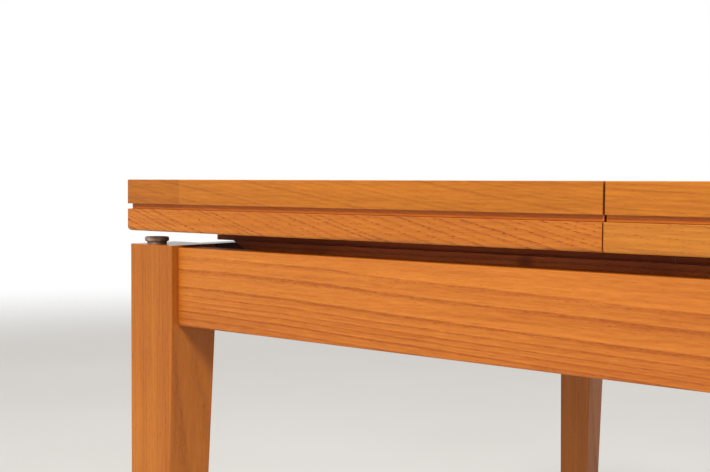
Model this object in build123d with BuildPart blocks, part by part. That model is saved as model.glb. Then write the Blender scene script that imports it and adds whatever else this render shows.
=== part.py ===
"""Extending oak dining table with four equal leaves, closed.

Two lower leaves are fixed on the frame. Each upper leaf is hinged to the lower leaf at the
table's outer end and folds out through half a turn onto two pull-out bars, called lopers.
Units are millimetres. The origin is on the floor at the table's centre, X is the direction in
which the table extends, Y runs from the front to the back, and Z is up.
"""

import os

from build123d import *

# Table top
TABLE_HEIGHT = 725.0
TOP_LENGTH = 850.0
TOP_DEPTH = 850.0
UPPER_EDGE = 20.0
LOWER_EDGE = 18.2
GROOVE_HEIGHT = 4.3
GROOVE_DEPTH = 2.8
PARTING_GAP = 0.1
UPPER_SPLIT_GAP = 1.5
LOWER_SPLIT_GAP = 0.9
LOWER_SPLIT_X = -0.4
TOP_ARRIS = 0.8
UNDER_ARRIS = 3.0

# Legs and aprons
LEG_INSET = 1.5
LEG_SIZE = 50.0
FOOT_SIZE = 32.0
LEG_TOP = 671.4
TAPER_START = 600.0
LEG_ARRIS = 1.2
APRON_RECESS = 7.5
APRON_THICKNESS = 22.0
APRON_TOP = 669.7
APRON_HEIGHT = 64.0
APRON_ARRIS = 0.8
TENON_LENGTH = 25.0
TENON_THICKNESS = 10.0
TENON_HEIGHT = 44.0

# Corner blocks, measured from the inner faces of the two aprons
BLOCK_REACH = 78.0
BLOCK_NOTCH = 28.0
BLOCK_NOTCH_CUT = 6.0
BLOCK_BOTTOM = 615.0
BLOCK_HEIGHT = 30.0
BLOCK_SCREW_PLACE = 56.0
BLOCK_SCREW_WALL = 10.0

# Cross rails and runners
CROSS_RAIL_PLACES = {"left": -290.0, "middle": 0.0, "right": 290.0}
CROSS_RAIL_THICKNESS = 22.0
CROSS_RAIL_HEIGHT = 40.0
DOWEL_RADIUS = 4.0
DOWEL_REACH = 15.0
DOWEL_SPACING = 20.0
RUNNER_TOP = 672.0
RUNNER_FRONT = 336.0
RUNNER_WIDTH = 60.0
RUNNER_HEIGHT = 20.0
RUNNER_HALF_LENGTH = 389.0
RUNNER_SLANT = 2.0
PACKER_WIDTH = 24.5

# Lopers
LOPER_FRONT = 335.0
LOPER_WIDTH = 34.0
LOPER_OUTER_END = 412.5
LOPER_INNER_END = 10.1
LOPER_TRAVEL = 240.0
LOPER_CORNER = 4.0
SLIDE_GAP = 0.05
GUIDE_PLACES = (335.0, 265.0)
GUIDE_RADIUS = 3.95
GUIDE_HEAD_RADIUS = 6.0
GUIDE_HEAD_HEIGHT = 2.6
GUIDE_THREAD_RADIUS = 2.0
GUIDE_THREAD_LENGTH = 15.0
SLOT_WIDTH = 8.0
STOP_HALF_LENGTH = 10.0

# Hinges
HINGE_PLACES = (-300.0, 0.0, 300.0)
HINGE_LENGTH = 60.0
HINGE_PLATE = 24.0
HINGE_THICKNESS = 1.2
HINGE_AXIS_OUT = 0.25
KNUCKLE_COUNT = 5
KNUCKLE_RADIUS = 1.95
KNUCKLE_GAP = 0.1
KNUCKLE_CLEARANCE = 0.2
PIN_RADIUS = 1.0
PIN_CLEARANCE = 0.05
HINGE_SCREW_SPACING = 40.0
HINGE_SCREW_PLACE = 13.0

# Glide buttons on the legs and glides under the feet
BUTTON_INSET = 15.5
BUTTON_RADIUS = 10.0
BUTTON_HEIGHT = 3.9
BUTTON_STEM_RADIUS = 8.2
BUTTON_STEM_HEIGHT = 2.0
BUTTON_ROUND = 1.2
GLIDE_RADIUS = 11.0
GLIDE_HEIGHT = 3.0
GLIDE_ROUND = 1.0
PEG_RADIUS = 2.0
PEG_LENGTH = 12.0

# Wood screws: head radius, head height, shank radius, length under the head's top
FIT_GAP = 0.05
SMALL_SCREW = (3.0, 1.6, 1.5, 13.0)
BLOCK_SCREW = (4.0, 2.5, 2.0, 26.0)
RUNNER_SCREW = (4.5, 3.0, 2.25, 44.0)
LEAF_SCREW = (4.5, 3.0, 2.0, 36.0)
RUNNER_SCREW_BORE = 10.0
LEAF_SCREW_BORE = 8.0
RUNNER_SCREW_OFFSETS = (10.0, 50.0)
LEAF_SCREW_PLACES = (60.0, 200.0, 340.0)

# Levels and places that follow from the dimensions above
HALF_LENGTH = TOP_LENGTH / 2
UPPER_EDGE_BOTTOM = TABLE_HEIGHT - UPPER_EDGE
LOWER_TOP = UPPER_EDGE_BOTTOM - GROOVE_HEIGHT
LEAF_UNDERSIDE = LOWER_TOP - LOWER_EDGE
UPPER_BOTTOM = LOWER_TOP + PARTING_GAP
PARTING = (UPPER_BOTTOM + LOWER_TOP) / 2
LEG_OUT = HALF_LENGTH - LEG_INSET
LEG_IN = LEG_OUT - LEG_SIZE
APRON_OUT = LEG_OUT - APRON_RECESS
APRON_IN = APRON_OUT - APRON_THICKNESS
APRON_MIDDLE = (APRON_OUT + APRON_IN) / 2
APRON_BOTTOM = APRON_TOP - APRON_HEIGHT
RUNNER_BOTTOM = RUNNER_TOP - RUNNER_HEIGHT
CROSS_RAIL_MIDDLE = RUNNER_BOTTOM - CROSS_RAIL_HEIGHT / 2
LOPER_BOTTOM = RUNNER_TOP + SLIDE_GAP
LOPER_TOP = 2 * PARTING - TABLE_HEIGHT - 2 * SLIDE_GAP
LOPER_MIDDLE = LOPER_FRONT - LOPER_WIDTH / 2
PACKER_MIDDLE = RUNNER_FRONT - RUNNER_WIDTH + PACKER_WIDTH / 2
HINGE_AXIS = HALF_LENGTH + HINGE_AXIS_OUT
BUTTON_PLACE = LEG_OUT - BUTTON_INSET
CORNERS = {
    "front_left": (-1, -1),
    "front_right": (1, -1),
    "back_left": (-1, 1),
    "back_right": (1, 1),
}
SIDES = {"left": -1, "right": 1}
ROWS = {"front": -1, "back": 1}


def save(piece, name):
    """Labels a finished piece and writes it to its own file."""
    piece.label = name
    export_step(piece, f"parts/{name}.step")


def leaf(inner, outer, levels, arris, core_level=None):
    """A leaf's board, with rounded arrises round its broad outer face, apart from the split.

    An upper leaf has a core level. Its core goes down to it, set back by the groove's depth.
    """
    side = 1 if outer > inner else -1
    with BuildPart() as board:
        with BuildSketch(Plane.XY.offset(levels[0])):
            with Locations(((inner + outer) / 2, 0)):
                Rectangle(abs(outer - inner), TOP_DEPTH)
        extrude(amount=levels[1] - levels[0])
        broad_face = board.faces().sort_by(Axis.Z)[-1 if core_level else 0]
        split_edge = broad_face.edges().sort_by(Axis.X)[-1 if side < 0 else 0]
        fillet(broad_face.edges() - [split_edge], arris)
        if core_level:
            core_outer = outer - side * GROOVE_DEPTH
            with BuildSketch(Plane.XY.offset(core_level)):
                with Locations(((inner + core_outer) / 2, 0)):
                    Rectangle(abs(core_outer - inner), TOP_DEPTH - 2 * GROOVE_DEPTH)
            extrude(amount=levels[0] - core_level)
    return board.part


def wood_screw(size, gap=0.0):
    """A countersunk wood screw that points down, with its head's top on the origin."""
    head, head_height, shank, length = size
    with BuildPart() as screw:
        with BuildSketch(Plane.XZ):
            with BuildLine():
                Polyline(
                    (0, 0),
                    (head + gap, 0),
                    (shank + gap, -head_height - gap),
                    (shank + gap, -length - gap + shank),
                    (0, -length - gap),
                    close=True,
                )
            make_face()
        revolve(axis=Axis.Z)
    return screw.part


def bored_screw(size, bore):
    """The hole for a wood screw whose head lies at the bottom of a bore of that depth."""
    with BuildPart() as hole:
        add(wood_screw(size, FIT_GAP))
        with BuildSketch():
            Circle(size[0] + FIT_GAP)
        extrude(amount=bore + FIT_GAP)
    return hole.part


def copies(template, places):
    """Separate copies of one small piece, as the solids of one group."""
    with BuildPart() as group:
        with Locations(*places):
            add(template)
    return group.part


def cut(piece, cutter, places):
    """The piece with the cutter taken away at each place."""
    with BuildPart() as result:
        add(piece)
        with Locations(*places):
            add(cutter, mode=Mode.SUBTRACT)
    return result.part


def box_between(low, high):
    """A plain block between two opposite corners."""
    size = [b - a for a, b in zip(low, high)]
    with BuildPart() as block:
        with Locations(tuple((a + b) / 2 for a, b in zip(low, high))):
            Box(*size)
    return block.part


# Hinges ------------------------------------------------------------------------------------


def hinge_plate(side, is_flap):
    """One plate of a butt hinge with its share of the knuckles, at the middle of the depth."""
    pitch = HINGE_LENGTH / KNUCKLE_COUNT
    level = UPPER_BOTTOM if is_flap else LOWER_TOP - HINGE_THICKNESS
    axis_x = side * HINGE_AXIS
    plate_end = side * (HALF_LENGTH - HINGE_PLATE)
    plate_start = side * (HINGE_AXIS - KNUCKLE_RADIUS - KNUCKLE_CLEARANCE)
    own = range(1, KNUCKLE_COUNT, 2) if is_flap else range(0, KNUCKLE_COUNT, 2)
    with BuildPart() as plate:
        with BuildSketch(Plane.XY.offset(level)):
            with Locations(((plate_start + plate_end) / 2, 0)):
                Rectangle(abs(plate_start - plate_end), HINGE_LENGTH)
            for index in own:
                with Locations(((axis_x + plate_end) / 2, (index + 0.5) * pitch - HINGE_LENGTH / 2)):
                    Rectangle(abs(axis_x - plate_end), pitch - KNUCKLE_GAP)
        extrude(amount=HINGE_THICKNESS)
        for index in own:
            knuckle_end = (index + 1) * pitch - HINGE_LENGTH / 2 - KNUCKLE_GAP / 2
            with BuildSketch(Plane.XZ.offset(-knuckle_end)):
                with Locations((axis_x, PARTING)):
                    Circle(KNUCKLE_RADIUS)
            extrude(amount=pitch - KNUCKLE_GAP)
        with BuildSketch(Plane.XZ):
            with Locations((axis_x, PARTING)):
                Circle(PIN_RADIUS + PIN_CLEARANCE)
        extrude(amount=HINGE_LENGTH, both=True, mode=Mode.SUBTRACT)
        with Locations(*hinge_screw_places(side, is_flap, (0.0,))):
            add(wood_screw(SMALL_SCREW, FIT_GAP), mode=Mode.SUBTRACT)
    return plate.part


def hinge_screw_places(side, is_flap, hinge_places=HINGE_PLACES):
    """Where the screws of one row of plates stand: head on the plate, point in the wood."""
    level = UPPER_BOTTOM if is_flap else LOWER_TOP
    turn = (180, 0, 0) if is_flap else (0, 0, 0)
    place = side * (HALF_LENGTH - HINGE_SCREW_PLACE)
    return [
        Location((place, middle + offset, level), turn)
        for middle in hinge_places
        for offset in (-HINGE_SCREW_SPACING / 2, HINGE_SCREW_SPACING / 2)
    ]


def hinge_recess(side, is_flap):
    """The shallow housing that a hinge plate lies in, with a pocket under the knuckles."""
    deep = HINGE_THICKNESS + FIT_GAP
    level = UPPER_BOTTOM if is_flap else LOWER_TOP - deep
    half = HINGE_LENGTH / 2 + FIT_GAP
    outside = side * (HALF_LENGTH + GROOVE_DEPTH)
    plate = sorted((side * (HALF_LENGTH - HINGE_PLATE - FIT_GAP), outside))
    knuckles = sorted((side * (HINGE_AXIS - KNUCKLE_RADIUS - KNUCKLE_CLEARANCE), outside))
    with BuildPart() as recess:
        add(box_between((plate[0], -half, level), (plate[1], half, level + deep)))
        if not is_flap:
            pocket_bottom = PARTING - KNUCKLE_RADIUS - KNUCKLE_CLEARANCE
            add(box_between((knuckles[0], -half, pocket_bottom), (knuckles[1], half, LOWER_TOP)))
    return recess.part


def hinge_pin(side):
    """The pin through one hinge's knuckles."""
    with BuildPart() as pin:
        with BuildSketch(Plane.XZ):
            with Locations((side * HINGE_AXIS, PARTING)):
                Circle(PIN_RADIUS)
        extrude(amount=HINGE_LENGTH / 2, both=True)
    return pin.part


# Leaves ------------------------------------------------------------------------------------


def make_leaves():
    """The four leaves, their hinges, the hinge pins and the hinge screws."""
    hinge_middles = [(0, middle, 0) for middle in HINGE_PLACES]
    upper_levels = (UPPER_EDGE_BOTTOM, TABLE_HEIGHT)
    lower_levels = (LEAF_UNDERSIDE, LOWER_TOP)
    for name, side in SIDES.items():
        outer = side * HALF_LENGTH
        upper = leaf(side * UPPER_SPLIT_GAP / 2, outer, upper_levels, TOP_ARRIS, UPPER_BOTTOM)
        lower_inner = LOWER_SPLIT_X + side * LOWER_SPLIT_GAP / 2
        lower = leaf(lower_inner, outer, lower_levels, UNDER_ARRIS)
        for board, is_flap, board_name, hardware in (
            (upper, True, f"leaf_upper_{name}", f"hinge_flap_{name}"),
            (lower, False, f"leaf_lower_{name}", f"hinge_base_{name}"),
        ):
            screws = hinge_screw_places(side, is_flap)
            board = cut(board, hinge_recess(side, is_flap), hinge_middles)
            board = cut(board, wood_screw(SMALL_SCREW, FIT_GAP), screws)
            if not is_flap:
                board = cut(board, wood_screw(LEAF_SCREW, FIT_GAP), leaf_screw_places())
            save(board, board_name)
            save(copies(hinge_plate(side, is_flap), hinge_middles), hardware)
            save(copies(wood_screw(SMALL_SCREW), screws), f"{hardware}_screws")
        save(copies(hinge_pin(side), hinge_middles), f"hinge_pins_{name}")


# Frame -------------------------------------------------------------------------------------


def leg_section(side_x, side_y, size):
    """A leg's square section of that size, with its outer corner in line with the leg's."""
    middle = LEG_OUT - size / 2
    with BuildSketch(mode=Mode.PRIVATE) as section:
        with Locations((side_x * middle, side_y * middle)):
            RectangleRounded(size, size, LEG_ARRIS)
    return section.sketch


def tenon(side_x, side_y, along_x):
    """The tenon of one apron where it enters a leg."""
    low_z = (APRON_TOP + APRON_BOTTOM - TENON_HEIGHT) / 2
    along = sorted((LEG_IN, LEG_IN + TENON_LENGTH))
    across = (APRON_MIDDLE - TENON_THICKNESS / 2, APRON_MIDDLE + TENON_THICKNESS / 2)
    reach_x, reach_y = (along, across) if along_x else (across, along)
    span_x = sorted(side_x * value for value in reach_x)
    span_y = sorted(side_y * value for value in reach_y)
    return box_between((span_x[0], span_y[0], low_z), (span_x[1], span_y[1], low_z + TENON_HEIGHT))


def make_leg(side_x, side_y):
    """A leg, straight beside the aprons and tapered below on its inner faces, with its holes."""
    with BuildPart() as leg:
        with BuildSketch(Plane.XY.offset(GLIDE_HEIGHT)):
            add(leg_section(side_x, side_y, FOOT_SIZE))
        with BuildSketch(Plane.XY.offset(TAPER_START)):
            add(leg_section(side_x, side_y, LEG_SIZE))
        loft()
        with BuildSketch(Plane.XY.offset(TAPER_START)):
            add(leg_section(side_x, side_y, LEG_SIZE))
        extrude(amount=LEG_TOP - TAPER_START)
        add(tenon(side_x, side_y, True), mode=Mode.SUBTRACT)
        add(tenon(side_x, side_y, False), mode=Mode.SUBTRACT)
        for level, turn in ((LEG_TOP, 0), (GLIDE_HEIGHT, 180)):
            place = Location((side_x * BUTTON_PLACE, side_y * BUTTON_PLACE, level), (turn, 0, 0))
            with Locations(place):
                add(peg(FIT_GAP), mode=Mode.SUBTRACT)
    return leg.part


def peg(gap=0.0):
    """The short threaded peg of a button or a glide, pointing down from the origin."""
    with BuildPart() as shank:
        with BuildSketch():
            Circle(PEG_RADIUS + gap)
        extrude(amount=-PEG_LENGTH - gap)
    return shank.part


def make_apron(side, along_x):
    """An apron board between two legs, with a tenon at each end and blind dowel holes inside."""
    ends = (-LEG_IN, LEG_IN)
    faces = sorted((side * APRON_IN, side * APRON_OUT))
    span_x, span_y = (ends, faces) if along_x else (faces, ends)
    with BuildPart() as apron:
        add(box_between((span_x[0], span_y[0], APRON_BOTTOM), (span_x[1], span_y[1], APRON_TOP)))
        fillet(apron.edges().filter_by(Axis.X if along_x else Axis.Y), APRON_ARRIS)
        for end in (-1, 1):
            add(tenon(end, side, True) if along_x else tenon(side, end, False))
        if along_x:
            with Locations(*dowel_places((side,))):
                add(dowel(FIT_GAP), mode=Mode.SUBTRACT)
        with Locations(*block_screw_places(along_x)):
            add(wood_screw(BLOCK_SCREW, FIT_GAP), mode=Mode.SUBTRACT)
    return apron.part


def make_corner_block(side_x, side_y):
    """A block glued and screwed in the corner, notched clear of the leg."""
    plan = [
        (BLOCK_NOTCH, 0),
        (BLOCK_REACH, 0),
        (0, BLOCK_REACH),
        (0, BLOCK_NOTCH),
        (BLOCK_NOTCH - BLOCK_NOTCH_CUT, BLOCK_NOTCH),
        (BLOCK_NOTCH, BLOCK_NOTCH - BLOCK_NOTCH_CUT),
    ]
    placed = [(side_x * (APRON_IN - u), side_y * (APRON_IN - v)) for u, v in plan]
    with BuildPart() as block:
        with BuildSketch(Plane.XY.offset(BLOCK_BOTTOM)):
            with BuildLine():
                Polyline(*placed, close=True)
            make_face()
        extrude(amount=BLOCK_HEIGHT)
        for along_x in (True, False):
            with Locations(*block_screw_places(along_x)):
                add(bored_screw(BLOCK_SCREW, BLOCK_REACH), mode=Mode.SUBTRACT)
    return block.part


def block_screw_places(into_long_apron):
    """The corner block screws that enter the long aprons, or those that enter the end aprons."""
    level = BLOCK_BOTTOM + BLOCK_HEIGHT / 2
    near = APRON_IN - BLOCK_SCREW_WALL
    far = APRON_IN - BLOCK_SCREW_PLACE
    places = []
    for side_x, side_y in CORNERS.values():
        if into_long_apron:
            places.append(Location((side_x * far, side_y * near, level), (side_y * 90, 0, 0)))
        else:
            places.append(Location((side_x * near, side_y * far, level), (0, -side_x * 90, 0)))
    return places


def dowel(gap=0.0):
    """A dowel along Y, centred on the origin."""
    with BuildPart() as rod:
        with BuildSketch(Plane.XZ):
            Circle(DOWEL_RADIUS + gap)
        extrude(amount=DOWEL_REACH + gap, both=True)
    return rod.part


def dowel_places(rows=(-1, 1)):
    """Two dowels at each end of each cross rail."""
    return [
        (place, row * APRON_IN, CROSS_RAIL_MIDDLE + offset)
        for place in CROSS_RAIL_PLACES.values()
        for row in rows
        for offset in (-DOWEL_SPACING / 2, DOWEL_SPACING / 2)
    ]


def runner_screw_places():
    """Screws driven up through the cross rails into the runners."""
    level = RUNNER_BOTTOM - CROSS_RAIL_HEIGHT + RUNNER_SCREW_BORE
    return [
        Location((place, row * (RUNNER_FRONT - offset), level), (180, 0, 0))
        for place in CROSS_RAIL_PLACES.values()
        for row in ROWS.values()
        for offset in RUNNER_SCREW_OFFSETS
    ]


def leaf_screw_places():
    """Screws driven up through the runners and packers into the lower leaves."""
    return [
        Location((side * place, row * PACKER_MIDDLE, RUNNER_BOTTOM + LEAF_SCREW_BORE), (180, 0, 0))
        for side in SIDES.values()
        for row in ROWS.values()
        for place in LEAF_SCREW_PLACES
    ]


def make_cross_rail(place):
    """A rail from the front apron to the back apron that carries the runners."""
    half = CROSS_RAIL_THICKNESS / 2
    low = (place - half, -APRON_IN, RUNNER_BOTTOM - CROSS_RAIL_HEIGHT)
    rail = box_between(low, (place + half, APRON_IN, RUNNER_BOTTOM))
    rail = cut(rail, dowel(FIT_GAP), dowel_places())
    return cut(rail, bored_screw(RUNNER_SCREW, RUNNER_SCREW_BORE), runner_screw_places())


def make_runner(row):
    """A runner that the lopers slide on, with its ends cut back underneath."""
    reach = RUNNER_HALF_LENGTH - RUNNER_SLANT * RUNNER_HEIGHT
    outline = [
        (-RUNNER_HALF_LENGTH, RUNNER_TOP),
        (RUNNER_HALF_LENGTH, RUNNER_TOP),
        (reach, RUNNER_BOTTOM),
        (-reach, RUNNER_BOTTOM),
    ]
    with BuildPart() as runner:
        with BuildSketch(Plane.XZ.offset(-row * (RUNNER_FRONT - RUNNER_WIDTH / 2))):
            with BuildLine():
                Polyline(*outline, close=True)
            make_face()
        extrude(amount=RUNNER_WIDTH / 2, both=True)
        with Locations(*runner_screw_places()):
            add(wood_screw(RUNNER_SCREW, FIT_GAP), mode=Mode.SUBTRACT)
        with Locations(*leaf_screw_places()):
            add(bored_screw(LEAF_SCREW, LEAF_SCREW_BORE), mode=Mode.SUBTRACT)
        with Locations(*guide_places()):
            add(guide_screw(FIT_GAP), mode=Mode.SUBTRACT)
        with Locations(*stop_screw_places()):
            add(wood_screw(SMALL_SCREW, FIT_GAP), mode=Mode.SUBTRACT)
    return runner.part


def make_packer(row):
    """A strip between a runner and the lower leaves, beside the lopers."""
    half = PACKER_WIDTH / 2
    low = (-RUNNER_HALF_LENGTH, row * PACKER_MIDDLE - half, RUNNER_TOP)
    high = (RUNNER_HALF_LENGTH, row * PACKER_MIDDLE + half, LEAF_UNDERSIDE)
    return cut(box_between(low, high), wood_screw(LEAF_SCREW, FIT_GAP), leaf_screw_places())


def make_frame():
    """Legs, aprons, corner blocks, cross rails, runners, packers and their fastenings."""
    for name, (side_x, side_y) in CORNERS.items():
        save(make_leg(side_x, side_y), f"leg_{name}")
        save(make_corner_block(side_x, side_y), f"corner_block_{name}")
    for name, row in ROWS.items():
        save(make_apron(row, True), f"apron_{name}")
        save(make_runner(row), f"runner_{name}")
        save(make_packer(row), f"packer_{name}")
    for name, side in SIDES.items():
        save(make_apron(side, False), f"apron_{name}")
    for name, place in CROSS_RAIL_PLACES.items():
        save(make_cross_rail(place), f"cross_rail_{name}")
    block_screws = block_screw_places(True) + block_screw_places(False)
    save(copies(wood_screw(BLOCK_SCREW), block_screws), "corner_block_screws")
    save(copies(dowel(), dowel_places()), "cross_rail_dowels")
    save(copies(wood_screw(RUNNER_SCREW), runner_screw_places()), "runner_screws")
    save(copies(wood_screw(LEAF_SCREW), leaf_screw_places()), "leaf_screws")


# Lopers ------------------------------------------------------------------------------------


def guide_screw(gap=0.0):
    """A shouldered screw that stands on the runner, guides a loper and stops it at both ends."""
    shoulder_top = LOPER_TOP + SLIDE_GAP - RUNNER_TOP
    with BuildPart() as screw:
        with BuildSketch():
            Circle(GUIDE_THREAD_RADIUS + gap)
        extrude(amount=-GUIDE_THREAD_LENGTH - gap)
        with BuildSketch():
            Circle(GUIDE_RADIUS)
        extrude(amount=shoulder_top)
        with BuildSketch(Plane.XY.offset(shoulder_top)):
            Circle(GUIDE_HEAD_RADIUS)
        extrude(amount=GUIDE_HEAD_HEIGHT)
    return screw.part


def guide_places():
    """Two guide screws for each loper."""
    return [
        (side * place, row * LOPER_MIDDLE, RUNNER_TOP)
        for side in SIDES.values()
        for row in ROWS.values()
        for place in GUIDE_PLACES
    ]


def make_loper(side, row):
    """A pull-out bar with a long slot for its two guide screws."""
    length = LOPER_OUTER_END - LOPER_INNER_END
    middle = side * (LOPER_OUTER_END + LOPER_INNER_END) / 2
    slot_outer = max(GUIDE_PLACES) + SLOT_WIDTH / 2
    slot_inner = min(GUIDE_PLACES) - SLOT_WIDTH / 2 - LOPER_TRAVEL
    slot_middle = side * (slot_outer + slot_inner) / 2
    slot_length = slot_outer - slot_inner
    with BuildPart() as bar:
        with BuildSketch(Plane.XY.offset(LOPER_BOTTOM)):
            with Locations((middle, row * LOPER_MIDDLE)):
                outline = Rectangle(length, LOPER_WIDTH)
            outer_corners = outline.vertices().group_by(Axis.X)[-1 if side > 0 else 0]
            fillet(outer_corners, LOPER_CORNER)
        extrude(amount=LOPER_TOP - LOPER_BOTTOM)
        with BuildSketch(Plane.XY.offset(LOPER_BOTTOM)):
            with Locations((slot_middle, row * LOPER_MIDDLE)):
                SlotOverall(slot_length, SLOT_WIDTH)
        extrude(amount=LOPER_TOP - LOPER_BOTTOM, mode=Mode.SUBTRACT)
    return bar.part


def stop_screw_places():
    """One screw down through each stop into its runner."""
    return [(0, row * LOPER_MIDDLE, LOPER_TOP) for row in ROWS.values()]


def make_stop(row):
    """The block at the middle of a runner that two closed lopers meet."""
    half = LOPER_WIDTH / 2
    low = (-STOP_HALF_LENGTH, row * LOPER_MIDDLE - half, RUNNER_TOP)
    high = (STOP_HALF_LENGTH, row * LOPER_MIDDLE + half, LOPER_TOP)
    return cut(box_between(low, high), wood_screw(SMALL_SCREW, FIT_GAP), stop_screw_places())


def make_lopers():
    """The four lopers, their guide screws, and the stops between them."""
    for side_name, side in SIDES.items():
        for row_name, row in ROWS.items():
            save(make_loper(side, row), f"loper_{row_name}_{side_name}")
    save(copies(guide_screw(), guide_places()), "loper_guide_screws")
    for row_name, row in ROWS.items():
        save(make_stop(row), f"loper_stop_{row_name}")
    save(copies(wood_screw(SMALL_SCREW), stop_screw_places()), "loper_stop_screws")


# Buttons and glides ------------------------------------------------------------------------


def make_button():
    """The round button on a leg's top, on a short stem with a threaded peg."""
    with BuildPart() as button:
        with BuildSketch(Plane.XY.offset(BUTTON_STEM_HEIGHT)):
            Circle(BUTTON_RADIUS)
        extrude(amount=BUTTON_HEIGHT)
        fillet(button.edges().filter_by(GeomType.CIRCLE), BUTTON_ROUND)
        with BuildSketch():
            Circle(BUTTON_STEM_RADIUS)
        extrude(amount=BUTTON_STEM_HEIGHT)
        add(peg())
    return button.part


def make_foot_glide():
    """The flat glide under a foot, with its peg upwards from the origin."""
    with BuildPart() as glide:
        with BuildSketch(Plane.XY.offset(-GLIDE_HEIGHT)):
            Circle(GLIDE_RADIUS)
        extrude(amount=GLIDE_HEIGHT)
        fillet(glide.edges().filter_by(GeomType.CIRCLE).sort_by(Axis.Z)[0], GLIDE_ROUND)
        with BuildSketch():
            Circle(PEG_RADIUS)
        extrude(amount=PEG_LENGTH)
    return glide.part


def make_buttons_and_glides():
    """Four buttons on the legs' tops and four glides under the feet."""
    middles = [(x * BUTTON_PLACE, y * BUTTON_PLACE) for x, y in CORNERS.values()]
    save(copies(make_button(), [(x, y, LEG_TOP) for x, y in middles]), "glide_buttons")
    save(copies(make_foot_glide(), [(x, y, GLIDE_HEIGHT) for x, y in middles]), "foot_glides")


os.makedirs("parts", exist_ok=True)
make_leaves()
make_frame()
make_lopers()
make_buttons_and_glides()
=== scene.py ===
"""Looks of the extending oak dining table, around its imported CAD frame. Units are metres."""

import math

import bpy
from mathutils import Matrix, Vector


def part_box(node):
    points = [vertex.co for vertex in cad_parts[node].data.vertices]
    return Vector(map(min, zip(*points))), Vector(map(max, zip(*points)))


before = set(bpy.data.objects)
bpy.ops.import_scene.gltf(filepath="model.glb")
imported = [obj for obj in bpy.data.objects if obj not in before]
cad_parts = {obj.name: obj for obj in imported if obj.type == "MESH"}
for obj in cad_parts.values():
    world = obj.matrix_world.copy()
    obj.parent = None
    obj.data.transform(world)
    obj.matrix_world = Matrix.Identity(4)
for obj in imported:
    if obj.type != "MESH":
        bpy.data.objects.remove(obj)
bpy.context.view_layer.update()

# Camera: where the viewer stands, which way they look, and the lens
CAMERA_PLACE = (0.2592, -1.0007, 0.7210)
CAMERA_YAW = math.radians(37.63)
CAMERA_PITCH = math.radians(2.75)
CAMERA_ROLL = math.radians(0.42)
SENSOR_WIDTH = 36.0
LENS = 52.9
NEAR_CLIP = 0.02

# Light
KEY_TARGET = (-0.1, -0.42, 0.66)
KEY_DIRECTION = (0.33, -0.66, 0.72)
KEY_DISTANCE = 3.2
KEY_SIZE = 0.75
KEY_POWER = 150.0
KEY_COLOUR = (1.0, 0.985, 0.96)
ROOM_COLOUR = (1.0, 0.995, 0.985, 1.0)
WORLD_STRENGTH = 0.78

# Floor: its size, the parts of its radius between which it fades, and its surface
FLOOR_SIDES = 96
FLOOR_RADIUS = 7.0
FLOOR_FADE = 0.55
FLOOR_GONE = 0.98
FLOOR_CLOUD_SCALE = 1.4
FLOOR_GRIT_SCALE = 420.0
FLOOR_RELIEF_STRENGTH = 0.05
FLOOR_RELIEF_DEPTH = 0.0003
FLOOR_ROUGHNESS = 0.75

# Oak: each feature's length along the grain and width across it, in metres, and the offset
# that keeps its noise apart from the others
BEND = (0.42, 0.16, 0.0)
RIPPLE = (0.05, 0.03, 5.0)
FIBRE = (0.13, 0.0032, 11.0)
FINE = (0.016, 0.0011, 23.0)
BLOTCH = (0.33, 0.11, 31.0)
PORE = (0.0040, 0.0006, 41.0)
STREAK = (0.55, 0.011, 53.0)

# Oak: growth rings. The reaches are in metres, and the parts of a ring run from 0 to 1
BEND_REACH = 0.014
RIPPLE_REACH = 0.0020
HEART_WANDER = 0.08
YEAR_CHANGE = 70.0
YEAR_SHIFT = 2.6
LINE_EDGE = 0.18
LATE_WOOD = (0.55, 1.0)
LATE_LIGHT = 0.3
PORES_IN_LINE = 0.20
PORE_EDGE = (0.66, 0.74)

# Oak: changes of tone, as shares of the way from the dark tone to the light one, and the
# heights, from a board's middle, between which its lower part grows darker
MIDDLE_TONE = 0.5
FIBRE_TONE = 0.9
STAVE_TONE = 0.3
CLEAT_TONE = 0.28
LOW_EDGE = (0.002, -0.022)

# Oak: staves that a wide board is glued from. Their width, and how far their grain is shifted
# along the board, are in metres. The glue line's ends are parts of a stave's width
STAVE_WIDTH = 0.085
STAVE_SHIFT = 3.0
GLUE_LINE = (0.494, 0.5)
GLUE_STRENGTH = 0.35

# Oak: painted shade in recesses, gaps and inner faces, redder in the leaves' grooves as from
# bounced light; a dark round spot; and arrises made lighter, partly by wear and partly as a
# painted highlight. A tint's three numbers are shares of the dark tone's red, green and blue.
# A name that ends in RAMP holds a ramp's ends, then its values there
# A near-black brown: painted shade in narrow gaps and on inner faces, and the colour of the dark
# round spot
NEAR_BLACK_BROWN = (0.022, 0.009, 0.005, 1.0)
PORE_STAIN = (0.52, 0.38, 0.38)
# Tints of the painted shade in recesses: the frame's darker, the leaves' redder as from bounced
# light
RECESS_SHADE_TINT = (0.95, 0.62, 0.50)
GROOVE_SHADE_TINT = (1.60, 0.70, 0.60)
RECESS_REACH = 0.007
RECESS_RAMP = (0.86, 0.45, 0.0, 0.55)
GAP_RAMP = (0.40, 0.12, 0.0, 0.85)
INSIDE_RAMP = (0.6, 0.9, 0.0, 0.96)
# A dark round spot on the front runner's face
DARK_SPOT_X = -0.099
DARK_SPOT_ABOVE_MIDDLE = 0.005
DARK_SPOT_RADIUS = 0.010
DARK_SPOT_CORE = 0.2
DARK_SPOT_STRENGTH = 0.5
# Width of the lighter band on oak arrises: partly wear, partly a painted highlight
ARRIS_WEAR_AND_HIGHLIGHT = 0.0009
ARRIS_TURN = (0.995, 0.80)
SCUFF_SCALE = 160.0
SCUFF_EDGE = (0.42, 0.62)
SCUFF_WEAR = (0.30, 0.08)

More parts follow.
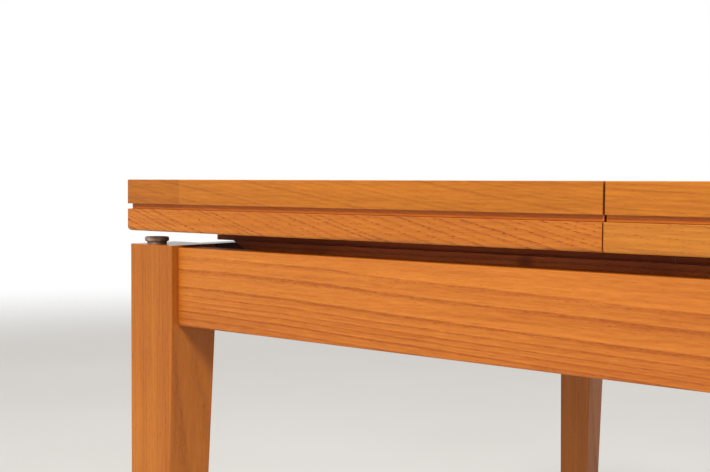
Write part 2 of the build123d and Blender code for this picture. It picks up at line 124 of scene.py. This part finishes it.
# Oak: relief and gloss of the lacquer
FINE_RELIEF = 0.25
RELIEF_STRENGTH = 0.22
RELIEF_DEPTH = 0.00018
SMEAR_SCALE = 14.0
SMEAR_ROUGHNESS = 0.16
LACQUER_ROUGHNESS = 0.30
PORE_ROUGHNESS = 0.20
LACQUER_SPECULAR = 0.22
FACES_UP = (0.7, 0.95)
SIDE_COAT = 0.06

# Oak: the leaves' thinner coat, the step between the seeds of two boards, and what a seed is
# multiplied by across and up a board, which keeps those directions apart
LEAF_COAT = 0.08
LEAF_COAT_ROUGHNESS = 0.35
SEED_STEP = 3.1
SEED_ACROSS = 1.7
SEED_UP = 2.3

# Other materials: noise scales and stretches are per metre, and wear is in metres. An EDGE is
# a ramp's ends, a RELIEF is a bump's strength and depth, and a ROUGHNESS of two numbers is
# what the noise adds at most, then the least
PEEL_SCALE = 900.0
CLOUD_SCALE = 22.0
CHIP_SCALE = 60.0
CHIP_RAMP = (0.34, 0.56, 0.25, 0.9)
SCRATCH_STRETCH = (9.0, 700.0, 700.0)
SCRATCH_EDGE = (0.66, 0.72)
SCRATCH_STRENGTH = 0.22
# Width of the paint's lighter arris: partly wear, partly a painted highlight
PAINT_WEAR_AND_HIGHLIGHT = 0.0007
PAINT_ROUGHNESS = (0.14, 0.42)
PAINT_RELIEF = (0.12, 0.0002)
PAINT_SPECULAR = 0.12
BARE_METALLIC = 0.5
HINGE_BRUSH = (40.0, 2200.0, 2200.0)
HINGE_ROUGHNESS = 0.34
SCREW_BRUSH = (1500.0, 1500.0, 60.0)
SCREW_ROUGHNESS = 0.36
BRUSH_ROUGHNESS = 0.16
TARNISH_SCALE = 130.0
TARNISH_EDGE = (0.35, 0.72)
TARNISH_ROUGHNESS = 0.12
METAL_WEAR = 0.0003
METAL_RUBBED = 0.5
METAL_RELIEF = (0.15, 0.00006)
METAL_METALLIC = 0.95
MOULD_SCALE = 2600.0
DUST_SCALE = 170.0
DUST_EDGE = (0.34, 0.68)
PLASTIC_WEAR = 0.0004
PLASTIC_RUBBED = 0.3
PLASTIC_RELIEF = (0.2, 0.00008)
PLASTIC_ROUGHNESS = (0.2, 0.42)
PLASTIC_SPECULAR = 0.4

# How a board looks where its own look doesn't say otherwise
PLAIN_LOOK = {
    "spacing": 0.0034,
    "slope": 0.0,
    "sweep": 0.0,
    "rings": 0.4,
    "line": 0.66,
    "even": 0.15,
    "pores": 0.5,
    "pore_size": 1.0,
    "fibres": 1.0,
    "streaks": 0.6,
    "blotches": 0.6,
    "recess": RECESS_SHADE_TINT,
    "sheen": 0.8,
    "coat_roughness": 0.16,
}


# Node helpers --------------------------------------------------------------------------------


class Tree:
    """Short names for making and joining the nodes of one material."""

    def __init__(self, name):
        self.material = bpy.data.materials.new(name)
        self.material.use_nodes = True
        self.nodes = self.material.node_tree.nodes
        self.links = self.material.node_tree.links
        self.nodes.clear()

    def node(self, kind, inputs=None, **settings):
        made = self.nodes.new("ShaderNode" + kind)
        for key, value in settings.items():
            setattr(made, key, value)
        for key, value in (inputs or {}).items():
            self.feed(made.inputs[key], value)
        return made

    def feed(self, socket, value):
        if isinstance(value, bpy.types.NodeSocket):
            self.links.new(value, socket)
        elif isinstance(value, bpy.types.Node):
            self.links.new(value.outputs[0], socket)
        else:
            socket.default_value = value

    def math(self, operation, *values):
        made = self.node("Math", operation=operation)
        for index, value in enumerate(values):
            self.feed(made.inputs[index], value)
        return made.outputs[0]

    def vector(self, operation, *values):
        made = self.node("VectorMath", operation=operation)
        for index, value in enumerate(values):
            self.feed(made.inputs[index], value)
        return made.outputs[0]

    def noise(self, vector, scale=1.0, detail=2.0, roughness=0.5):
        inputs = {"Vector": vector, "Scale": scale, "Detail": detail, "Roughness": roughness}
        return self.node("TexNoise", inputs).outputs["Fac"]

    def chance(self, number):
        """A random value from 0 to 1 that stays the same for the same number."""
        return self.node("TexWhiteNoise", {"W": number}, noise_dimensions="1D").outputs[0]

    def swing(self, value, amount):
        """A value from 0 to 1 made to swing about zero, by that amount from end to end."""
        return self.math("MULTIPLY_ADD", value, amount, -amount / 2)

    def total(self, first, *others):
        for other in others:
            first = self.math("ADD", first, other)
        return first

    def ramp(self, value, low, high, low_value=0.0, high_value=1.0):
        made = self.node("MapRange", interpolation_type="SMOOTHSTEP")
        for key, number in zip(
            ("Value", "From Min", "From Max", "To Min", "To Max"),
            (value, low, high, low_value, high_value),
        ):
            self.feed(made.inputs[key], number)
        return made.outputs["Result"]

    def mix(self, factor, first, second, blend="MIX"):
        made = self.node("Mix", data_type="RGBA", blend_type=blend)
        self.feed(made.inputs[0], factor)
        self.feed(made.inputs[6], first)
        self.feed(made.inputs[7], second)
        return made.outputs[2]

    def arris(self, radius):
        """1 on an arris and 0 on a flat face, and the normal that rounds the arris."""
        bevel = self.node("Bevel", {"Radius": radius}, samples=4)
        true_normal = self.node("NewGeometry").outputs["Normal"]
        facing = self.node("VectorMath", operation="DOT_PRODUCT")
        self.feed(facing.inputs[0], bevel.outputs["Normal"])
        self.feed(facing.inputs[1], true_normal)
        return self.ramp(facing.outputs["Value"], *ARRIS_TURN), bevel.outputs["Normal"]

    def bump(self, height, strength, depth, normal):
        inputs = {"Strength": strength, "Distance": depth, "Height": height, "Normal": normal}
        return self.node("Bump", inputs)

    def finish(self, **inputs):
        named = {key.replace("_", " "): value for key, value in inputs.items()}
        surface = self.node("BsdfPrincipled", named)
        self.node("OutputMaterial", {"Surface": surface})
        return self.material


def rgb(red, green, blue):
    return (red, green, blue, 1.0)


def scaled(colour, shares):
    """A colour with its red, green and blue each taken by a share."""
    return tuple(channel * share for channel, share in zip(colour, shares)) + (1.0,)


# Tones of the oak, dark and light: the top is more golden, the frame more orange
TOP_TONES = (rgb(0.298, 0.086, 0.0058), rgb(0.552, 0.186, 0.0136))
LOWER_LEFT_TONES = (rgb(0.326, 0.087, 0.0080), rgb(0.600, 0.200, 0.0210))
LOWER_RIGHT_TONES = (rgb(0.286, 0.084, 0.0080), rgb(0.528, 0.192, 0.0210))
FRAME_TONES = (rgb(0.275, 0.066, 0.0065), rgb(0.470, 0.152, 0.0190))
LEG_TONES = (rgb(0.235, 0.058, 0.0055), rgb(0.425, 0.138, 0.0140))
INNER_TONES = (rgb(0.310, 0.074, 0.016), rgb(0.540, 0.145, 0.040))

# Tones of the other materials
PAINT_TONES = (rgb(0.264, 0.067, 0.025), rgb(0.350, 0.092, 0.036))
# The paint's arris colour: bare steel from wear, and a painted highlight
BARE_EDGE_AND_HIGHLIGHT = rgb(0.50, 0.40, 0.34)
SCRATCH_TONE = rgb(0.30, 0.18, 0.12)
BRASS_TONES = (rgb(0.72, 0.52, 0.24), rgb(0.42, 0.27, 0.12))
ZINC_TONES = (rgb(0.66, 0.66, 0.64), rgb(0.40, 0.39, 0.37))
BUTTON_TONES = (rgb(0.33, 0.25, 0.18), rgb(0.17, 0.115, 0.080))
GLIDE_TONES = (rgb(0.14, 0.085, 0.05), rgb(0.07, 0.04, 0.025))
FLOOR_TONES = (rgb(0.66, 0.64, 0.61), rgb(0.72, 0.705, 0.68))


# Oak -----------------------------------------------------------------------------------------


class Board:
    """Where a point is in a board: along the grain, across it and up, from the board's centre."""

    def __init__(self, tree, grain, centre, seed, staves):
        self.tree = tree
        self.seed = seed
        self.texture = tree.node("TexCoord")
        self.place = tree.vector("SUBTRACT", self.texture.outputs["Object"], centre)
        parts = tree.node("SeparateXYZ", {0: self.place}).outputs
        order = {"X": (0, 1, 2), "Y": (1, 0, 2), "Z": (2, 0, 1)}[grain]
        self.along, self.across, self.up = (parts[index] for index in order)
        self.chance = 0.5
        self.glue = 0.0
        if staves:
            strip = tree.math("DIVIDE", self.across, staves)
            number = tree.math("FLOOR", strip)
            self.chance = tree.chance(tree.math("ADD", number, seed))
            middle_out = tree.math("SUBTRACT", tree.math("SUBTRACT", strip, number), 0.5)
            self.across = tree.math("MULTIPLY", middle_out, staves)
            self.glue = tree.ramp(tree.math("ABSOLUTE", middle_out), *GLUE_LINE)
        self.shifted = tree.math("MULTIPLY_ADD", self.chance, STAVE_SHIFT, self.along)

    def stretched(self, length, width, offset, size=1.0):
        """A noise vector with features of that length along the grain and width across it."""
        tree = self.tree
        length *= size
        width *= size
        vector = {
            0: tree.math("MULTIPLY_ADD", self.shifted, 1 / length, self.seed + offset),
            1: tree.math("MULTIPLY_ADD", self.across, 1 / width, self.seed * SEED_ACROSS + offset),
            2: tree.math("MULTIPLY_ADD", self.up, 1 / width, self.seed * SEED_UP + offset),
        }
        return tree.node("CombineXYZ", vector).outputs[0]


def growth_rings(tree, board, heart, look):
    """The early wood, a soft dark line in each year, and the pale late wood after it."""
    bend = tree.swing(tree.noise(board.stretched(*BEND), detail=1.5), BEND_REACH)
    ripple = tree.swing(tree.noise(board.stretched(*RIPPLE), detail=3.0), RIPPLE_REACH)
    tilt = tree.math("MULTIPLY_ADD", board.along, -look["sweep"], look["slope"])
    level = tree.math("MULTIPLY_ADD", board.along, tilt, board.up)
    lift = tree.math("ADD", level, tree.math("ADD", bend, ripple))
    heart_across = tree.math("ADD", tree.swing(board.chance, HEART_WANDER), heart[0])
    from_heart_a = tree.math("SUBTRACT", board.across, heart_across)
    from_heart_b = tree.math("SUBTRACT", lift, heart[1])
    square_a = tree.math("MULTIPLY", from_heart_a, from_heart_a)
    square_b = tree.math("MULTIPLY", from_heart_b, from_heart_b)
    distance = tree.math("SQRT", tree.math("ADD", square_a, square_b))
    outward = {0: tree.math("MULTIPLY", distance, YEAR_CHANGE), 1: board.seed}
    years = tree.noise(tree.node("CombineXYZ", outward).outputs[0], detail=1.0)
    phase = tree.math("DIVIDE", distance, look["spacing"])
    phase = tree.math("ADD", phase, tree.math("MULTIPLY", years, YEAR_SHIFT))
    ring = tree.math("FRACT", phase)
    year = tree.chance(tree.math("ADD", tree.math("FLOOR", phase), board.seed))
    strength = tree.math("MULTIPLY_ADD", year, 1.0 - look["even"], look["even"])
    line = look["line"]
    rise = tree.ramp(ring, 0.0, line * LINE_EDGE)
    fall = tree.ramp(ring, line, line * LINE_EDGE)
    early = tree.math("MULTIPLY", tree.math("MULTIPLY", rise, fall), strength)
    return early, tree.ramp(ring, *LATE_WOOD)


def painted_shade_and_arrises(tree, board, colour, tones, look):
    """Painted shade in recesses, in narrow gaps and on a face that points inward, and arrises made
    lighter, partly by wear and partly as a painted highlight.
    """
    dark, light = tones
    # Painted shade: recesses darken and redden as the occlusion falls, and narrow gaps go near
    # black
    hollow = tree.node("AmbientOcclusion", {"Distance": RECESS_REACH}, samples=6).outputs["AO"]
    colour = tree.mix(tree.ramp(hollow, *RECESS_RAMP), colour, scaled(dark, look["recess"]))
    colour = tree.mix(tree.ramp(hollow, *GAP_RAMP), colour, NEAR_BLACK_BROWN)
    facing = tree.node("SeparateXYZ", {0: board.texture.outputs["Normal"]}).outputs
    # Painted shade: a face that points into the frame is painted near black
    if "inside" in look:
        axis, side = look["inside"]
        inward = tree.math("MULTIPLY", facing["XYZ".index(axis)], side)
        colour = tree.mix(tree.ramp(inward, *INSIDE_RAMP), colour, NEAR_BLACK_BROWN)
    # Arrises made lighter: partly wear, partly a painted highlight, varied by scuff noise
    lighter_arris, soft_normal = tree.arris(ARRIS_WEAR_AND_HIGHLIGHT)
    scuffs = tree.ramp(tree.noise(board.place, scale=SCUFF_SCALE, detail=3.0), *SCUFF_EDGE)
    lighter_arris = tree.math("MULTIPLY", lighter_arris, tree.math("MULTIPLY_ADD", scuffs, *SCUFF_WEAR))
    upward = tree.ramp(facing[2], *FACES_UP, SIDE_COAT, look["sheen"])
    return tree.mix(lighter_arris, colour, light), soft_normal, upward


def oak(name, grain, tones, heart, centre, seed, own_look):
    """Lacquered oak as a solid texture, so that every face and end of a board agrees.

    grain is the axis that the fibres follow. heart is the tree's middle, across the grain from
    the board's centre. The look holds:
    - spacing of the growth rings; slope, their tilt against the board; sweep, how that tilt
      changes along it; line, how much of a year is early wood; even, how alike the years are
    - rings, pores, fibres, streaks and blotches, how strongly each shows; pore_size
    - recess, the tint of the painted shade in recesses; sheen, the coat on an upward face;
      coat_roughness
    It may also hold: staves, the width of the strips a wide board is glued from; low_dark, how
    much darker the lower part is; joint, where a cleat of another tone ends; inside, the
    direction of a face painted near black as shade; and knot, the place and radius of a
    dark round spot.
    """
    look = {**PLAIN_LOOK, **own_look}
    dark, light = tones
    tree = Tree(name)
    board = Board(tree, grain, centre, seed, look.get("staves"))
    early, late = growth_rings(tree, board, heart, look)

    # Fibres, pores, broad streaks and slow changes of tone
    fibre = tree.noise(board.stretched(*FIBRE), detail=3.0, roughness=0.62)
    fine = tree.noise(board.stretched(*FINE), detail=2.0, roughness=0.65)
    streak = tree.noise(board.stretched(*STREAK), detail=2.0)
    blotch = tree.noise(board.stretched(*BLOTCH), detail=2.0)
    pore_noise = tree.noise(board.stretched(*PORE, look["pore_size"]), detail=1.0)
    pore = tree.ramp(tree.math("MULTIPLY_ADD", early, PORES_IN_LINE, pore_noise), *PORE_EDGE)
    tone = tree.total(
        tree.math("ADD", tree.swing(fibre, FIBRE_TONE * look["fibres"]), MIDDLE_TONE),
        tree.math("MULTIPLY", early, -look["rings"]),
        tree.math("MULTIPLY", late, look["rings"] * LATE_LIGHT),
        tree.swing(streak, look["streaks"]),
        tree.swing(blotch, look["blotches"]),
        tree.swing(fine, look["fibres"]),
        tree.swing(board.chance, STAVE_TONE),
    )
    if "low_dark" in look:
        tone = tree.math("SUBTRACT", tone, tree.ramp(board.up, *LOW_EDGE, 0.0, look["low_dark"]))
    if "joint" in look:
        cleat = tree.math("LESS_THAN", board.along, look["joint"])
        tone = tree.math("SUBTRACT", tone, tree.math("MULTIPLY", cleat, CLEAT_TONE))

    colour = tree.mix(tree.math("MINIMUM", tree.math("MAXIMUM", tone, 0.0), 1.0), dark, light)
    pore_colour = scaled(dark, PORE_STAIN)
    colour = tree.mix(tree.math("MULTIPLY", pore, look["pores"]), colour, pore_colour)
    colour = tree.mix(tree.math("MULTIPLY", board.glue, GLUE_STRENGTH), colour, pore_colour)
    # A dark round spot, darkest at its core
    if "knot" in look:
        dark_spot_place, radius = look["knot"]
        to_dark_spot = tree.vector("SUBTRACT", board.place, dark_spot_place)
        reach = tree.node("VectorMath", {0: to_dark_spot}, operation="LENGTH").outputs["Value"]
        shade = tree.ramp(reach, radius, radius * DARK_SPOT_CORE, 0.0, DARK_SPOT_STRENGTH)
        colour = tree.mix(shade, colour, NEAR_BLACK_BROWN)
    colour, soft_normal, upward = painted_shade_and_arrises(tree, board, colour, tones, look)

    relief = tree.math("SUBTRACT", tree.math("MULTIPLY", fine, FINE_RELIEF), pore)
    smear = tree.noise(board.place, scale=SMEAR_SCALE, detail=3.0)
    roughness = tree.math("MULTIPLY_ADD", smear, SMEAR_ROUGHNESS, LACQUER_ROUGHNESS)
    return tree.finish(
        Base_Color=colour,
        Roughness=tree.math("ADD", roughness, tree.math("MULTIPLY", pore, PORE_ROUGHNESS)),
        Normal=tree.bump(relief, RELIEF_STRENGTH, RELIEF_DEPTH, soft_normal),
        Specular_IOR_Level=LACQUER_SPECULAR,
        Coat_Weight=upward,
        Coat_Roughness=look["coat_roughness"],
    )


# Other materials -----------------------------------------------------------------------------


def dark_paint():
    """Dark red-brown paint on steel, with a fine orange peel, scratches, and arrises made lighter
    partly by wear and partly as a painted highlight.
    """
    tree = Tree("loper_dark_paint")
    place = tree.node("TexCoord").outputs["Object"]
    peel = tree.noise(place, scale=PEEL_SCALE, detail=2.0)
    clouds = tree.noise(place, scale=CLOUD_SCALE, detail=3.0)
    chips = tree.ramp(tree.noise(place, scale=CHIP_SCALE, detail=4.0), *CHIP_RAMP)
    # Arrises lighter and half metallic: partly worn bare steel, partly a painted highlight
    lighter_arris, soft_normal = tree.arris(PAINT_WEAR_AND_HIGHLIGHT)
    lighter_arris = tree.math("MULTIPLY", lighter_arris, chips)
    scratches = tree.noise(tree.vector("MULTIPLY", place, SCRATCH_STRETCH), detail=2.0)
    scratch = tree.math("MULTIPLY", tree.ramp(scratches, *SCRATCH_EDGE), SCRATCH_STRENGTH)
    colour = tree.mix(clouds, *PAINT_TONES)
    colour = tree.mix(lighter_arris, colour, BARE_EDGE_AND_HIGHLIGHT)
    colour = tree.mix(scratch, colour, SCRATCH_TONE)
    return tree.finish(
        Base_Color=colour,
        Roughness=tree.math("MULTIPLY_ADD", clouds, *PAINT_ROUGHNESS),
        Metallic=tree.math("MULTIPLY", lighter_arris, BARE_METALLIC),
        Normal=tree.bump(peel, *PAINT_RELIEF, soft_normal),
        Specular_IOR_Level=PAINT_SPECULAR,
    )


def metal(name, light, dark, brush, roughness):
    """Brushed metal with fine lines, a little tarnish and bright arrises."""
    tree = Tree(name)
    place = tree.node("TexCoord").outputs["Object"]
    lines = tree.noise(tree.vector("MULTIPLY", place, brush), detail=2.0)
    tarnish = tree.noise(place, scale=TARNISH_SCALE, detail=3.0)
    lighter_arris, soft_normal = tree.arris(METAL_WEAR)
    colour = tree.mix(tree.ramp(tarnish, *TARNISH_EDGE), light, dark)
    colour = tree.mix(tree.math("MULTIPLY", lighter_arris, METAL_RUBBED), colour, light)
    rough = tree.math("ADD", tree.swing(lines, BRUSH_ROUGHNESS), roughness)
    rough = tree.math("ADD", rough, tree.math("MULTIPLY", tarnish, TARNISH_ROUGHNESS))
    return tree.finish(
        Base_Color=colour,
        Roughness=rough,
        Metallic=METAL_METALLIC,
        Normal=tree.bump(lines, *METAL_RELIEF, soft_normal),
    )


def plastic(name, light, dark):
    """Moulded plastic with a fine grain, a little dust and rubbed arrises."""
    tree = Tree(name)
    place = tree.node("TexCoord").outputs["Object"]
    grain = tree.noise(place, scale=MOULD_SCALE, detail=2.0)
    dust = tree.noise(place, scale=DUST_SCALE, detail=4.0)
    lighter_arris, soft_normal = tree.arris(PLASTIC_WEAR)
    colour = tree.mix(tree.ramp(dust, *DUST_EDGE), dark, light)
    colour = tree.mix(tree.math("MULTIPLY", lighter_arris, PLASTIC_RUBBED), colour, light)
    return tree.finish(
        Base_Color=colour,
        Roughness=tree.math("MULTIPLY_ADD", dust, *PLASTIC_ROUGHNESS),
        Normal=tree.bump(grain, *PLASTIC_RELIEF, soft_normal),
        Specular_IOR_Level=PLASTIC_SPECULAR,
    )


def dress(node, material):
    """Gives a CAD node one material."""
    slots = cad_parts[node].data.materials
    slots.clear()
    slots.append(material)


def middle(node):
    low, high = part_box(node)
    return tuple((low + high) / 2)


def board_looks():
    """Each board's grain, tones, tree's heart and look, by node."""
    leaf = {
        "staves": STAVE_WIDTH,
        "recess": GROOVE_SHADE_TINT,
        "sheen": LEAF_COAT,
        "coat_roughness": LEAF_COAT_ROUGHNESS,
    }
    upper_left = {**leaf, "slope": 0.17, "rings": 0.22, "pores": 0.25, "joint": -0.150}
    upper_right = {**leaf, "slope": 0.05, "rings": 0.22, "pores": 0.25}
    lower_left = {
        **leaf,
        "slope": 0.28,
        "sweep": 0.12,
        "spacing": 0.0038,
        "rings": 0.26,
        "pores": 0.85,
        "pore_size": 0.95,
    }
    lower_right = {**leaf, "slope": 0.05, "rings": 0.30, "pores": 0.60}
    front = {
        "slope": 0.026,
        "spacing": 0.0034,
        "even": 0.55,
        "line": 0.42,
        "low_dark": 0.12,
        "rings": 0.46,
        "pores": 0.35,
        "inside": ("Y", 1),
        "sheen": SIDE_COAT,
    }
    leg = {
        "slope": 0.006,
        "rings": 0.12,
        "pores": 0.25,
        "streaks": 0.6,
        "fibres": 0.6,
        "blotches": 1.5,
    }
    boards = {
        "leaf_upper_left": ("X", TOP_TONES, (-0.02, 0.19), upper_left),
        "leaf_upper_right": ("X", TOP_TONES, (-0.03, 0.15), upper_right),
        "leaf_lower_left": ("X", LOWER_LEFT_TONES, (0.05, 0.26), lower_left),
        "leaf_lower_right": ("X", LOWER_RIGHT_TONES, (0.02, 0.14), lower_right),
        "apron_front": ("X", FRAME_TONES, (0.060, 0.030), front),
        "apron_back": ("X", FRAME_TONES, (-0.055, -0.012), {"slope": -0.02, "inside": ("Y", -1)}),
        "apron_left": ("Y", FRAME_TONES, (0.050, 0.016), {"slope": 0.02, "inside": ("X", 1)}),
        "apron_right": ("Y", FRAME_TONES, (-0.060, 0.004), {"slope": -0.015, "inside": ("X", -1)}),
    }
    for row in ("front", "back"):
        for side in ("left", "right"):
            boards[f"leg_{row}_{side}"] = ("Z", LEG_TONES, (0.30, 0.04), leg)
            boards[f"corner_block_{row}_{side}"] = ("Z", INNER_TONES, (0.09, 0.08), {})
        boards[f"runner_{row}"] = ("X", INNER_TONES, (0.05, -0.07), {})
        boards[f"packer_{row}"] = ("X", INNER_TONES, (0.08, 0.05), {})
    # A dark round spot on the front runner's face
    runner_low, runner_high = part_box("runner_front")
    dark_spot_place = (DARK_SPOT_X, -(runner_high[1] - runner_low[1]) / 2, DARK_SPOT_ABOVE_MIDDLE)
    boards["runner_front"][3]["knot"] = (dark_spot_place, DARK_SPOT_RADIUS)
    for place in ("left", "middle", "right"):
        boards[f"cross_rail_{place}"] = ("Y", INNER_TONES, (0.06, 0.05), {})
    boards["cross_rail_dowels"] = ("Y", INNER_TONES, (0.03, 0.04), {})
    return boards


def dress_oak():
    """Each board gets its own piece of the tree."""
    for index, (node, (grain, tones, heart, look)) in enumerate(board_looks().items()):
        seed = SEED_STEP * index
        dress(node, oak(f"oak_{node}", grain, tones, heart, middle(node), seed, look))


def dress_hardware():
    """Lopers, hinges, screws, buttons and glides."""
    paint = dark_paint()
    brass = metal("hinge_brass", *BRASS_TONES, HINGE_BRUSH, HINGE_ROUGHNESS)
    zinc = metal("screw_zinc", *ZINC_TONES, SCREW_BRUSH, SCREW_ROUGHNESS)
    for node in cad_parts:
        if node.endswith("_screws"):
            dress(node, zinc)
        elif node.startswith("hinge_"):
            dress(node, brass)
        elif node.startswith("loper_"):
            dress(node, paint)
    dress("glide_buttons", plastic("button_taupe_plastic", *BUTTON_TONES))
    dress("foot_glides", plastic("glide_brown_plastic", *GLIDE_TONES))


# Stage ---------------------------------------------------------------------------------------


def make_floor():
    """A pale round floor that fades into the backdrop's light at its rim."""
    circle = {"vertices": FLOOR_SIDES, "radius": FLOOR_RADIUS, "fill_type": "NGON"}
    bpy.ops.mesh.primitive_circle_add(**circle)
    floor = bpy.context.object
    floor.name = "studio_floor"
    tree = Tree("floor_pale")
    place = tree.node("TexCoord").outputs["Object"]
    clouds = tree.noise(place, scale=FLOOR_CLOUD_SCALE, detail=3.0)
    grit = tree.noise(place, scale=FLOOR_GRIT_SCALE, detail=2.0)
    colour = tree.mix(clouds, *FLOOR_TONES)
    relief = {
        "Strength": FLOOR_RELIEF_STRENGTH,
        "Distance": FLOOR_RELIEF_DEPTH,
        "Height": grit,
    }
    inputs = {
        "Base Color": colour,
        "Roughness": FLOOR_ROUGHNESS,
        "Normal": tree.node("Bump", relief),
    }
    surface = tree.node("BsdfPrincipled", inputs)
    clear = tree.node("BsdfTransparent")
    reach = tree.node("VectorMath", operation="LENGTH")
    tree.feed(reach.inputs[0], place)
    fade_ends = (FLOOR_RADIUS * FLOOR_FADE, FLOOR_RADIUS * FLOOR_GONE)
    fade = tree.ramp(reach.outputs["Value"], *fade_ends)
    mixed = tree.node("MixShader", {0: fade, 1: surface, 2: clear})
    tree.node("OutputMaterial", {"Surface": mixed})
    floor.data.materials.append(tree.material)


def make_light():
    """One soft lamp from above the front right, and a bright even room."""
    target = Vector(KEY_TARGET)
    direction = Vector(KEY_DIRECTION).normalized()
    lamp = bpy.data.lights.new("key_softbox", "AREA")
    lamp.shape = "SQUARE"
    lamp.size = KEY_SIZE
    lamp.energy = KEY_POWER
    lamp.color = KEY_COLOUR
    key = bpy.data.objects.new("key_softbox", lamp)
    key.location = target + direction * KEY_DISTANCE
    key.rotation_euler = direction.to_track_quat("Z", "Y").to_euler()
    bpy.context.scene.collection.objects.link(key)
    world = bpy.data.worlds.new("bright_room")
    world.use_nodes = True
    nodes = world.node_tree.nodes
    links = world.node_tree.links
    nodes.clear()
    lit = nodes.new("ShaderNodeBackground")
    lit.inputs["Color"].default_value = ROOM_COLOUR
    lit.inputs["Strength"].default_value = WORLD_STRENGTH
    seen = nodes.new("ShaderNodeBackground")
    seen.inputs["Color"].default_value = rgb(1.0, 1.0, 1.0)
    path = nodes.new("ShaderNodeLightPath")
    mix = nodes.new("ShaderNodeMixShader")
    output = nodes.new("ShaderNodeOutputWorld")
    links.new(path.outputs["Is Camera Ray"], mix.inputs[0])
    links.new(lit.outputs[0], mix.inputs[1])
    links.new(seen.outputs[0], mix.inputs[2])
    links.new(mix.outputs[0], output.inputs["Surface"])
    bpy.context.scene.world = world
    bpy.context.scene.view_settings.view_transform = "Standard"


def make_camera():
    """The camera stands in front, level with the top, and looks at the front left corner."""
    lens = bpy.data.cameras.new("camera")
    lens.sensor_width = SENSOR_WIDTH
    lens.lens = LENS
    lens.clip_start = NEAR_CLIP
    camera = bpy.data.objects.new("camera", lens)
    turn = Matrix.Rotation(CAMERA_YAW, 4, "Z")
    nod = Matrix.Rotation(math.pi / 2 - CAMERA_PITCH, 4, "X")
    lean = Matrix.Rotation(CAMERA_ROLL, 4, "Z")
    camera.matrix_world = Matrix.Translation(CAMERA_PLACE) @ turn @ nod @ lean
    bpy.context.scene.collection.objects.link(camera)
    bpy.context.scene.camera = camera


dress_oak()
dress_hardware()
make_floor()
make_light()
make_camera()
